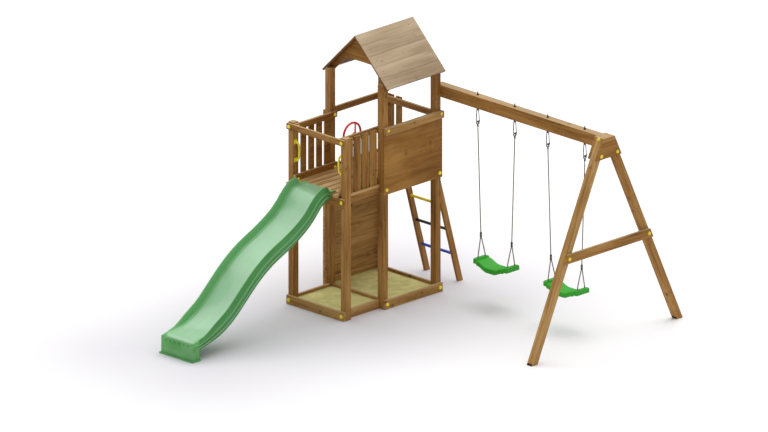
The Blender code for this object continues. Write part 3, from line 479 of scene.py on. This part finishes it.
def slide_finish():
    """The slide's green plastic: painted light on inner walls and ridges, painted shade on the skirt, and a
    bed paled along its length by wear and a painted sheen.
    """
    made = plastic("slide green", SLIDE_GREEN, 0.34, 0.6)
    place, shader, green = reopen(made)
    x, y, z = place.split()
    across = abs(x)
    facing_up = place.facing()[2]
    run = y.above(SLIDE_RUN)
    behind_foot = y.above(SLIDE_FOOT_BACK)
    streak = place.noise(place.join(x * 26.0, y * 1.6, z * 1.6), detail=4.0, roughness=0.6)
    cloud = place.noise(place, scale=5.0, detail=3.0)

    # Painted light: the inner walls and the upward faces of the ridges are made paler green, and the outer
    # skirt darker green as painted shade in its grooves.
    wall = across.ease(SLIDE_BED - 0.012, SLIDE_BED) * across.below(SLIDE_RIM) * run
    shaded_skirt = across.above(SLIDE_RIM + 0.002) * behind_foot
    lit_ridges = across.above(SLIDE_RIDGE) * facing_up.ease(-0.5, 0.0) * behind_foot
    bed = 1.0 - across.ease(SLIDE_BED - 0.045, SLIDE_BED + 0.006)
    # The bed's paleness on faces that point up is partly wear and partly a painted sheen.
    sheen_and_wear = bed * facing_up.ease(0.35, 0.75) * run * (0.45 + streak * 0.35 + cloud * 0.30)

    green = (wall * 0.8).blend(green, SLIDE_PAINTED_LIGHT)
    green = (shaded_skirt * 0.75).blend(green, SLIDE_PAINTED_SHADE)
    green = (lit_ridges * 0.85).blend(green, SLIDE_PAINTED_LIGHT)
    feed(shader, "Base Color", (sheen_and_wear * 0.9).blend(green, SLIDE_SHEEN_AND_WEAR))
    feed(shader, "Roughness", 0.30 + streak * 0.10 + cloud * 0.06)
    return made


def steel(name, colour, roughness):
    made, place, shader = material(name, colour, roughness, metallic=1.0)
    cloud = place.noise(place, scale=160.0, detail=3.0)
    feed(shader, "Base Color", cloud.ease(0.3, 0.75).blend(colour, toned(colour, 0.55)))
    feed(shader, "Roughness", roughness + cloud * 0.18)
    return made


def rope_finish():
    """Fibres of a laid rope: a little fuzz and dust on each strand."""
    made, place, shader = material("twisted rope", ROPE_LIGHT, 0.9, specular=0.15)
    fuzz = place.noise(place, scale=1400.0, detail=2.0)
    dust = place.noise(place, scale=60.0, detail=3.0)
    tone = fuzz * 0.6 + dust * 0.4
    feed(shader, "Base Color", tone.ease(0.3, 0.7).blend(ROPE_SHADE, ROPE_LIGHT))
    bump(shader, fuzz, 0.5, 0.0006)
    return made


def sand_finish():
    made, place, shader = material("play sand", SAND_LIGHT, 0.95)
    grains = place.noise(place, scale=330.0, detail=4.0, roughness=0.7)
    rake = place.noise(place, scale=11.0, detail=5.0, roughness=0.55)
    tone = grains.ease(0.3, 0.7) * 0.55 + rake.ease(0.3, 0.7) * 0.45
    feed(shader, "Base Color", tone.blend(SAND_SHADE, SAND_LIGHT))
    bump(shader, grains * 0.25 + rake, 0.8, 0.006)
    return made


def climbing_finish():
    """Planks, with the moulded holds in front of them in their own colours."""
    made = timber("plank wall", wall_layout, BRIGHT_STAIN)
    place, shader, wood = reopen(made)
    x, y, z = place.split()
    count = len(HOLD_COLOURS)
    stops = [(number / count, colour) for number, colour in enumerate(HOLD_COLOURS)]
    height = (z / HOLD_RISE - FIRST_HOLD) / count
    bands = height.node("ValToRGB", {"stops": stops, "interpolation": "CONSTANT"}, {0: height})
    feed(shader, "Base Color", x.below(HOLDS_BEYOND).blend(wood, bands))
    return made


TIMBER_X = timber("timber along X", GRAIN_X)
TIMBER_Y = timber("timber along Y", GRAIN_Y)
TIMBER_Z = timber("upright timber", GRAIN_Z)
BASE_X = timber("base timber along X", GRAIN_X, BRIGHT_STAIN)
BASE_Y = timber("base timber along Y", GRAIN_Y, BRIGHT_STAIN)
LEG_FRONT = timber("front leg timber", leaning(LEG_SLOPE), BRIGHT_STAIN)
LEG_REAR = timber("rear leg timber", leaning(-LEG_SLOPE))
# The gables take the dark stain as painted shade under the roof's eaves.
GABLES = timber("gable timber", GRAIN_X, DARK_STAIN)
STILES = timber("ladder timber", leaning(-LADDER_SLOPE))
DECKING = timber("deck boards", deck_layout, DECK_STAIN, 1.0, (deck_frame, STAIN), deck_seams, 0.0)
PANELS = timber("slatted panels", panel_layout, DARK_STAIN, 1.0, (slat_edges, PALE))
REAR_PANEL = timber("rear railing boards", rear_layout)
WALL = climbing_finish()
SHEET = timber("side sheet", sheet_layout, DARK_STAIN, 0.55, (sheet_rail, BRIGHT_STAIN))
ROOF_RIGHT = roof_finish("right roof boards", 1)
ROOF_LEFT = roof_finish("left roof boards", -1)
GREEN = slide_finish()
SEAT = plastic("seat green", (0.020, 0.345, 0.008), 0.52, 0.0)
YELLOW = plastic("handle yellow", (0.90, 0.74, 0.03), 0.3)
RED = plastic("wheel red", (0.62, 0.008, 0.012), 0.3)
BLUE = plastic("rung blue", (0.012, 0.07, 0.55), 0.35)
BLACK = plastic("rung black", (0.02, 0.02, 0.02), 0.4)
STEEL = steel("zinc plated steel", (0.052, 0.050, 0.047), 0.42)
DARK_STEEL = steel("dark screws", (0.060, 0.056, 0.050), 0.5)
PALE_STEEL = steel("thimble steel", (0.420, 0.410, 0.400), 0.45)
ROPE = rope_finish()
SAND = sand_finish()

# Which finish a node takes, by the start of its name
FINISHES = (
    (TIMBER_X, ("front_rail", "swing_beam")),
    (TIMBER_Y, ("left_rear_rail", "cross_brace", "apex_plate_")),
    (TIMBER_Z, ("post_",)),
    (BASE_X, ("base_board_front", "base_board_rear", "base_divider")),
    (BASE_Y, ("base_board_left", "base_board_right_")),
    (LEG_FRONT, ("swing_leg_front",)),
    (LEG_REAR, ("swing_leg_rear",)),
    (GABLES, ("gable_",)),
    (STILES, ("ladder_stile_",)),
    (DECKING, ("deck",)),
    (PANELS, ("slat_panel_",)),
    (REAR_PANEL, ("rear_railing",)),
    (WALL, ("climbing_wall",)),
    (SHEET, ("side_panel",)),
    (ROOF_RIGHT, ("roof_slope_right",)),
    (ROOF_LEFT, ("roof_slope_left",)),
    (GREEN, ("slide",)),
    (SEAT, ("swing_seat_",)),
    (YELLOW, ("grab_handle_", "ladder_rung_3")),
    (RED, ("steering_wheel", "ladder_rung_4")),
    (BLUE, ("ladder_rung_1",)),
    (BLACK, ("ladder_rung_2",)),
    (STEEL, ("eyebolt_", "snap_hook_", "hook_gate_")),
    (ROPE, ("rope_",)),
    (SAND, ("sand_",)),
)
for name, node in nodes.items():
    finish = next(finish for finish, starts in FINISHES if name.startswith(starts))
    node.data.materials.clear()
    node.data.materials.append(finish)


def piece(name, bm, finish, body="tower", smooth=None):
    """Make a finished bmesh a piece of the object that moves with one of its bodies."""
    bmesh.ops.remove_doubles(bm, verts=bm.verts, dist=0.00001)
    bmesh.ops.recalc_face_normals(bm, faces=bm.faces)
    mesh = bpy.data.meshes.new(name)
    bm.to_mesh(mesh)
    bm.free()
    mesh.materials.append(finish)
    if smooth is not None:
        mesh.shade_smooth()
        mesh.set_sharp_from_angle(angle=math.radians(smooth))
    made = bpy.data.objects.new(name, mesh)
    bpy.context.scene.collection.objects.link(made)
    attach(made, body)
    return made


def turn_to(direction):
    """The turn that stands a shape's Z axis along a direction."""
    return Vector(UP).rotation_difference(Vector(direction)).to_matrix().to_4x4()


def only(kind, geometry):
    return [item for item in geometry if isinstance(item, kind)]


def once(items):
    """Each item once, in the order in which they come."""
    return list(dict.fromkeys(items))


# Slatted panels, with the slats as wide as they look
SLAT_WIDER = 1.23


def slat_middle(number):
    return SLAT_START + number * SLAT_PITCH + SLAT / 2


def widen_slats(bm):
    """Widen each slat about its middle, but the first one, by the post, to one side and half as much."""
    for number in range(SLATS):
        middle_y = slat_middle(number)
        outside = [vert for vert in bm.verts if abs(vert.co.x) > X_IN - 0.001]
        slat = [vert for vert in outside if abs(vert.co.y - middle_y) < 0.52 * SLAT]
        held = middle_y if number else SLAT_START
        wider = SLAT_WIDER if number else (1 + SLAT_WIDER) / 2
        bmesh.ops.scale(bm, vec=(1, wider, 1), space=Matrix.Translation((0, -held, 0)), verts=slat)


for side in ("left", "right"):
    bm = bmesh.new()
    bm.from_mesh(nodes[f"slat_panel_{side}"].data)
    widen_slats(bm)
    panel = piece(f"slats_{side}", bm, PANELS)
    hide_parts(f"slat_panel_{side}")

# Bolt caps
SUNK = 0.0005  # how far a small piece runs into what it sits on
CAP = 0.018  # radius
CAP_HIGH = 0.012
CAP_WALL = 0.003  # height at which the wall turns into the dome
BASE_BOLT = 0.045
DECK_BOLT = 1.190
SHEET_BOLT = 1.197
SHEET_RAIL_BOLT = (0.020, 1.800)  # out from the sheet's face, partly inside its rail, and up
PANEL_BOLTS = (1.260, 1.792)
LEG_BOLT = (0.108, 1.900)  # across from the beam's middle, and up
LEG_SIDE_BOLT = (0.0816, 2.050)  # the same, on a leg's outer side


def dome(bm, at, direction, radius, high, segments=20):
    """A round cap with a flat seat and a domed top."""
    ball = bmesh.ops.create_uvsphere(bm, u_segments=segments, v_segments=12, radius=radius)["verts"]
    edges = once(edge for vert in ball for edge in vert.link_edges)
    faces = once(face for vert in ball for face in vert.link_faces)
    cut = bmesh.ops.bisect_plane(
        bm,
        geom=ball + edges + faces,
        dist=0.00001,
        plane_co=(0, 0, 0),
        plane_no=UP,
        clear_inner=True,
    )
    top = only(bmesh.types.BMVert, cut["geom"])
    rim = only(bmesh.types.BMEdge, cut["geom_cut"])
    wall = bmesh.ops.extrude_edge_only(bm, edges=rim)["geom"]
    low = only(bmesh.types.BMVert, wall)
    bmesh.ops.scale(bm, vec=(1, 1, (high - CAP_WALL) / radius), verts=top)
    bmesh.ops.translate(bm, vec=(0, 0, CAP_WALL), verts=top)
    for vert in low:
        vert.co.z = -SUNK
    seat = [edge for edge in only(bmesh.types.BMEdge, wall) if all(vert in low for vert in edge.verts)]
    bmesh.ops.contextual_create(bm, geom=seat)
    turn = Matrix.Translation(at) @ turn_to(direction)
    bmesh.ops.transform(bm, matrix=turn, verts=once(top + low))


def cap_places():
    """Where the yellow caps sit over the coach bolts, each with the way it faces."""
    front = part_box("base_board_front")[0].y
    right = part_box("base_board_right_rear")[1].x
    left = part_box("base_board_left")[0].x
    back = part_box("base_board_rear")[1].y
    heights = (BASE_BOLT, DECK_BOLT, middle("front_rail").z)
    places = [((side * X_POST, front, z), FRONT) for side in SIDES for z in heights]
    places += [((side * X_POST, back, BASE_BOLT), BACK) for side in SIDES]
    for y in (0.0, REAR_Y):
        out, z = SHEET_RAIL_BOLT
        places += [((right, y, BASE_BOLT), RIGHT), ((left, y, BASE_BOLT), LEFT)]
        places += [((SHEET_FACE + out, y, z), RIGHT), ((SHEET_FACE, y, SHEET_BOLT), RIGHT)]
    for y in (FRONT_Y, 0.0):
        for z in PANEL_BOLTS:
            places += [((RAILS_INNER_FACE, y, z), RIGHT), ((-RAILS_INNER_FACE, y, z), LEFT)]
    for side in SIDES:
        across, z = LEG_BOLT
        places.append(((LEG_FACE, BEAM_Y + side * across, z), RIGHT))
        across = LEG_SPREAD - LEG_SLOPE * BRACE_Z
        places.append(((LEG_FACE, BEAM_Y + side * across, BRACE_Z), RIGHT))
        across, z = LEG_SIDE_BOLT
        places.append(((LEG_X, BEAM_Y + side * across, z), (0, side, LEG_SLOPE)))
    return places


bm = bmesh.new()
for at, direction in cap_places():
    dome(bm, at, direction, CAP, CAP_HIGH)
piece("bolt_caps", bm, YELLOW, smooth=50)

# Screws
SCREW = 0.0045  # radius of a head
SCREW_HIGH = 0.002
SLAT_SCREWS = (1.262, 1.790)
SHEET_SCREWS = (1.30, 1.44, 1.58, 1.70)
SLAT_SCREW_APART = 0.040
DECK_SCREW_APART = 0.050
DECK_SCREW_INSET = 0.060  # from the middle of the end posts
WALL_SCREW_INSET = 0.030


def screw_places():
    """Screw heads on the slats, the deck, the side sheet, the wall and the roof, with the way each faces."""
    places = []
    for number in range(SLATS):
        for side in SIDES:
            y = slat_middle(number) + side * SLAT_SCREW_APART / 2
            for z in SLAT_SCREWS:
                places += [((SLATS_FACE, y, z), RIGHT), ((-SLATS_FACE, y, z), LEFT)]
    for number in range(DECK_BOARDS):
        board_x = -X_IN + (number + 0.5) * DECK_PITCH
        for y in (FRONT_Y + DECK_SCREW_INSET, 0.0, REAR_Y - DECK_SCREW_INSET):
            places += [((board_x + side * DECK_SCREW_APART / 2, y, DECK_HIGH.z), UP) for side in SIDES]
    for y in (0.0, REAR_Y):
        places += [((SHEET_FACE, y, z), RIGHT) for z in SHEET_SCREWS]
    for number in range(WALL_PLANKS):
        for y in (WALL_LOW.y + WALL_SCREW_INSET, WALL_HIGH.y - WALL_SCREW_INSET):
            places += [((WALL_HIGH.x, y, (number + rise) * WALL_PLANK), RIGHT) for rise in (0.3, 0.7)]
    for side in SIDES:
        for number in range(ROOF_BOARDS):
            down = (number + 0.5) * ROOF_BOARD * ROOF_SLOPE
            for y in (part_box("gable_front")[1].y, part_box("gable_rear")[0].y):
                places.append(((side * down, y, RIDGE - down), (side, 0, 1)))
    return places


def pin(bm, turn, radius, height, top=1.0, segments=20):
    """A short solid cylinder, or a cone if its top is a smaller share of its radius."""
    bmesh.ops.create_cone(
        bm, cap_ends=True, segments=segments, radius1=radius, radius2=top * radius, depth=height, matrix=turn
    )


bm = bmesh.new()
for at, direction in screw_places():
    pin(bm, Matrix.Translation(at) @ turn_to(direction), SCREW, SCREW_HIGH, 0.7, 10)
piece("screws", bm, DARK_STEEL, smooth=40)

# The slide, with the soft curves of a moulding over the stations of its solid
RIVET = 0.007
RIVET_HIGH = 0.006
RIVET_Z = 0.150
RIVET_PITCH = 0.060
FOOT_FACE = SLIDE_LOW.y + 0.014
bm = bmesh.new()
bm.from_mesh(nodes["slide"].data)
slide_shell = piece("slide_shell", bm, GREEN, smooth=22)
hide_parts("slide")
bm = bmesh.new()
for number in range(6):
    dome(bm, ((number - 2.5) * RIVET_PITCH, FOOT_FACE, RIVET_Z), FRONT, RIVET, RIVET_HIGH, 12)
piece("slide_foot_rivets", bm, SEAT, smooth=50)

# Ropes
ROPE_RADIUS = 0.0057
STRANDS = 3
STRAND = 0.52 * ROPE_RADIUS  # radius
ROPE_LAY = 0.040  # length of a strand's full turn
LAY_POINTS = 9  # in a full turn
WIND_POINTS = 12
ROPE_EYE = 0.0148  # radius
EYE_POINTS = 18
WHIPPING_DROP = 0.014  # from the eye's foot to the middle of the cord wound under it
KNOT = 0.012  # height of a knot's middle over the rope's lowest point
KNOT_TAIL = 0.008
THIMBLE = 0.0165  # radius
THIMBLE_FLANGE = 0.0026  # radius of its section
THIMBLE_HALF_WIDE = 0.0055
CLAMP_HEIGHT = 0.670  # of its middle over the ground
CLAMP_SPACING = 0.414  # between the two clamps of a swing
CLAMP_RADIUS = 0.0095
CLAMP_HIGH = 0.052
CLAMP_BAND_RADIUS = 0.0115
CLAMP_BAND_HIGH = 0.008
SEAT_HOLES = 0.394  # between the two ends of a seat
SEAT_HOLE_ACROSS = 0.094  # between its front and its back


def evenly(points, step):
    """Points every step along a line of corners."""
    found = [points[0]]
    left = step
    for start, end in zip(points, points[1:]):
        length = (end - start).length
        while left <= length:
            found.append(start.lerp(end, left / length))
            left += step
        left -= length
    return found + [points[-1]]


def add_spline(curve, points):
    spline = curve.splines.new("POLY")
    spline.points.add(len(points) - 1)
    for point, at in zip(spline.points, points):
        point.co = (*at, 1.0)


def lay_rope(curve, corners):
    """Three strands that twist round each other along a line of corners."""
    step = ROPE_LAY / LAY_POINTS
    points = evenly(corners, step)
    for strand in range(STRANDS):
        made = []
        for number, point in enumerate(points):
            ahead = points[min(number + 1, len(points) - 1)] - points[max(number - 1, 0)]
            ahead.normalize()
            side = Vector(RIGHT) - ahead * ahead.x
            side.normalize()
            other = ahead.cross(side)
            turn = math.tau * (number * step / ROPE_LAY + strand / STRANDS)
            made.append(point + (side * math.cos(turn) + other * math.sin(turn)) * 0.5 * ROPE_RADIUS)
        add_spline(curve, made)


def wind(curve, centre, turns, radius):
    """A few turns of cord wound round an upright rope, or a knot in it."""
    count = int(turns * WIND_POINTS)
    rise = 2 * STRAND / WIND_POINTS
    made = []
    for number in range(count + 1):
        turn = math.tau * number / WIND_POINTS
        up = (number - count / 2) * rise
        made.append(centre + Vector((radius * math.cos(turn), radius * math.sin(turn), up)))
    add_spline(curve, made)


def new_rope(name):
    curve = bpy.data.curves.new(name, "CURVE")
    curve.dimensions = "3D"
    curve.bevel_depth = STRAND
    curve.bevel_resolution = 1
    curve.use_fill_caps = True
    curve.materials.append(ROPE)
    return curve


def hang_rope(number, side):
    """The rope that is seen in place of its plain solid: an eye in the hook, a fork, and two knots.

    It gives the middle of the eye and the place of the fork.
    """
    name = f"rope_{number}_{side}"
    way = -1 if side == "left" else 1
    rope_low, rope_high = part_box(name)
    seat_x = middle(f"swing_seat_{number}").x
    seat_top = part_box(f"swing_seat_{number}")[1].z
    centre = Vector((middle(f"eyebolt_{number}_{side}").x, BEAM_Y, rope_high.z - ROPE_RADIUS - ROPE_EYE))
    turns = [math.tau * point / EYE_POINTS for point in range(EYE_POINTS + 1)]
    eye = [centre + ROPE_EYE * Vector((0, math.sin(turn), -math.cos(turn))) for turn in turns]
    fork = Vector((seat_x + way * CLAMP_SPACING / 2, BEAM_Y, CLAMP_HEIGHT))
    curve = new_rope(name + "_strands")
    lay_rope(curve, eye + [fork])
    wind(curve, centre - Vector((0, 0, ROPE_EYE + WHIPPING_DROP)), 3, ROPE_RADIUS + 0.5 * STRAND)
    hole_x = seat_x + way * SEAT_HOLES / 2
    for across in SIDES:
        hole_y = BEAM_Y + across * SEAT_HOLE_ACROSS / 2
        above = Vector((hole_x, hole_y, seat_top + 4 * ROPE_RADIUS))
        knot = Vector((hole_x, hole_y, rope_low.z + KNOT))
        lay_rope(curve, [fork, above, knot - Vector((0, 0, KNOT_TAIL))])
        wind(curve, knot, 2.5, ROPE_RADIUS + STRAND)
    made = bpy.data.objects.new(name + "_strands", curve)
    bpy.context.scene.collection.objects.link(made)
    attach(made, f"swing_{number}")
    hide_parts(name)
    return centre, fork


def add_thimble(bm, centre):
    """The two flanges of a steel thimble, one on each side of the rope's eye."""
    for across in SIDES:
        start = centre + Vector((across * THIMBLE_HALF_WIDE, 0, THIMBLE))
        turn = Matrix.Translation(start) @ Matrix.Rotation(math.radians(90), 4, "X")
        ring = bmesh.ops.create_circle(bm, segments=8, radius=THIMBLE_FLANGE, matrix=turn)["verts"]
        edges = once(edge for vert in ring for edge in vert.link_edges)
        bmesh.ops.spin(
            bm, geom=ring + edges, cent=centre, axis=RIGHT, angle=math.tau, steps=24, use_merge=True
        )


def add_clamp(bm, fork):
    """The clamp that holds a rope's two tails together where it forks, with its two bands."""
    pin(bm, Matrix.Translation(fork), CLAMP_RADIUS, CLAMP_HIGH)
    for way in SIDES:
        band = fork + Vector((0, 0, way * (CLAMP_HIGH / 2 - 1.5 * CLAMP_BAND_HIGH)))
        pin(bm, Matrix.Translation(band), CLAMP_BAND_RADIUS, CLAMP_BAND_HIGH)


for number in (1, 2):
    clamps = bmesh.new()
    thimbles = bmesh.new()
    for side in ("left", "right"):
        centre, fork = hang_rope(number, side)
        add_thimble(thimbles, centre)
        add_clamp(clamps, fork)
    piece(f"rope_clamps_{number}", clamps, BLACK, f"swing_{number}", smooth=40)
    piece(f"rope_thimbles_{number}", thimbles, PALE_STEEL, f"swing_{number}", smooth=60)

# The bolt through the beam's end, and a plate at each leg's foot
FRONT_BOLT = (2.45, BEAM_LOW.y, 2.01)
FRONT_BOLT_HEAD = 0.011  # radius
FRONT_BOLT_HIGH = 0.014
FOOT_PLATE = (0.060, 0.003, 0.020)
FOOT_PLATE_LIFT = 0.0015  # keeps the lower edge of a leaning plate off the ground
FOOT_ACROSS = 0.078  # of a leg's sawn foot, along Y
bm = bmesh.new()
pin(bm, Matrix.Translation(FRONT_BOLT) @ turn_to(FRONT), FRONT_BOLT_HEAD, FRONT_BOLT_HIGH, 10 / 11, 6)
for side, way in (("front", -1), ("rear", 1)):
    low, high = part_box(f"swing_leg_{side}")
    foot_y = low.y if side == "front" else high.y - FOOT_ACROSS
    lean = Matrix.Rotation(way * math.atan(LEG_SLOPE), 4, "X")
    out = Matrix.Translation((0, SUNK - FOOT_PLATE[1] / 2, FOOT_PLATE[2] / 2))
    turn = Matrix.Translation((LEG_X, foot_y, FOOT_PLATE_LIFT)) @ lean @ out
    bmesh.ops.create_cube(bm, size=1.0, matrix=turn @ Matrix.Diagonal((*FOOT_PLATE, 1.0)))
piece("small_steel", bm, DARK_STEEL, smooth=30)


def lay_floor():
    """A pale floor, darkened round the tower and its slide by a painted shadow."""
    made, place, shader = material("studio floor", FLOOR_PALE, 0.9)
    x, y, z = place.split()
    from_middle = y - (SLIDE_LOW.y + REAR_Y) / 2
    out_x = (abs(x) - X_OUT).larger(0.0)
    out_y = (abs(from_middle) - (REAR_Y - SLIDE_LOW.y) / 2).larger(0.0)
    away = (out_x * out_x + out_y * out_y).root()
    feed(shader, "Base Color", away.ease(-0.6, 2.6).blend(FLOOR_PAINTED_SHADOW, FLOOR_PALE))
    bm = bmesh.new()
    bmesh.ops.create_grid(bm, x_segments=1, y_segments=1, size=60.0)
    mesh = bpy.data.meshes.new("studio floor")
    bm.to_mesh(mesh)
    bm.free()
    mesh.materials.append(made)
    ground = bpy.data.objects.new("studio_floor", mesh)
    bpy.context.scene.collection.objects.link(ground)


def area_light(name, place, target, size, radiance, shape="SQUARE"):
    """A soft lamp of an even brightness, whose power follows from its size."""
    lamp = bpy.data.lights.new(name, "AREA")
    lamp.shape = shape
    lamp.size = size
    area = size**2 if shape == "SQUARE" else math.pi * size**2 / 4
    lamp.energy = math.pi * area * radiance
    made = bpy.data.objects.new(name, lamp)
    made.location = place
    made.rotation_mode = "QUATERNION"
    made.rotation_quaternion = (Vector(target) - Vector(place)).to_track_quat("-Z", "Y")
    bpy.context.scene.collection.objects.link(made)


lay_floor()
area_light("ceiling of cloth", (-2.0, 3.0, 14.0), (-2.0, 3.0, 0.0), 60.0, 0.48, "DISK")
area_light("overhead key", (-3.0, 12.0, 38.0), (0.8, -0.2, 0.5), 40.0, 2.35, "DISK")
area_light("softbox over the slide", (-4.6, -1.4, 5.8), (0.0, -1.4, 0.8), 4.0, 1.6)

world = bpy.data.worlds.new("studio")
world.use_nodes = True
world.node_tree.nodes["Background"].inputs["Color"].default_value = opaque((1.0, 1.0, 1.0))
world.node_tree.nodes["Background"].inputs["Strength"].default_value = 0.35
bpy.context.scene.world = world
bpy.context.scene.view_settings.view_transform = "Standard"

# A parallel view from the front right, as the photograph's
FRAME_WIDTH = 768
PIXELS_PER_METRE = 105
AZIMUTH = math.radians(44.811)
ELEVATION = math.radians(18.937)
TARGET = Vector((0.813, -0.446, 1.144))
CAMERA_AWAY = 30
level = math.cos(ELEVATION)
towards_camera = Vector((math.sin(AZIMUTH) * level, -math.cos(AZIMUTH) * level, math.sin(ELEVATION)))
camera_data = bpy.data.cameras.new("camera")
camera_data.type = "ORTHO"
camera_data.ortho_scale = FRAME_WIDTH / PIXELS_PER_METRE
camera_data.clip_end = 200
camera = bpy.data.objects.new("camera", camera_data)
camera.location = TARGET + towards_camera * CAMERA_AWAY
camera.rotation_mode = "QUATERNION"
camera.rotation_quaternion = (-towards_camera).to_track_quat("-Z", "Y")
bpy.context.scene.collection.objects.link(camera)
bpy.context.scene.camera = camera
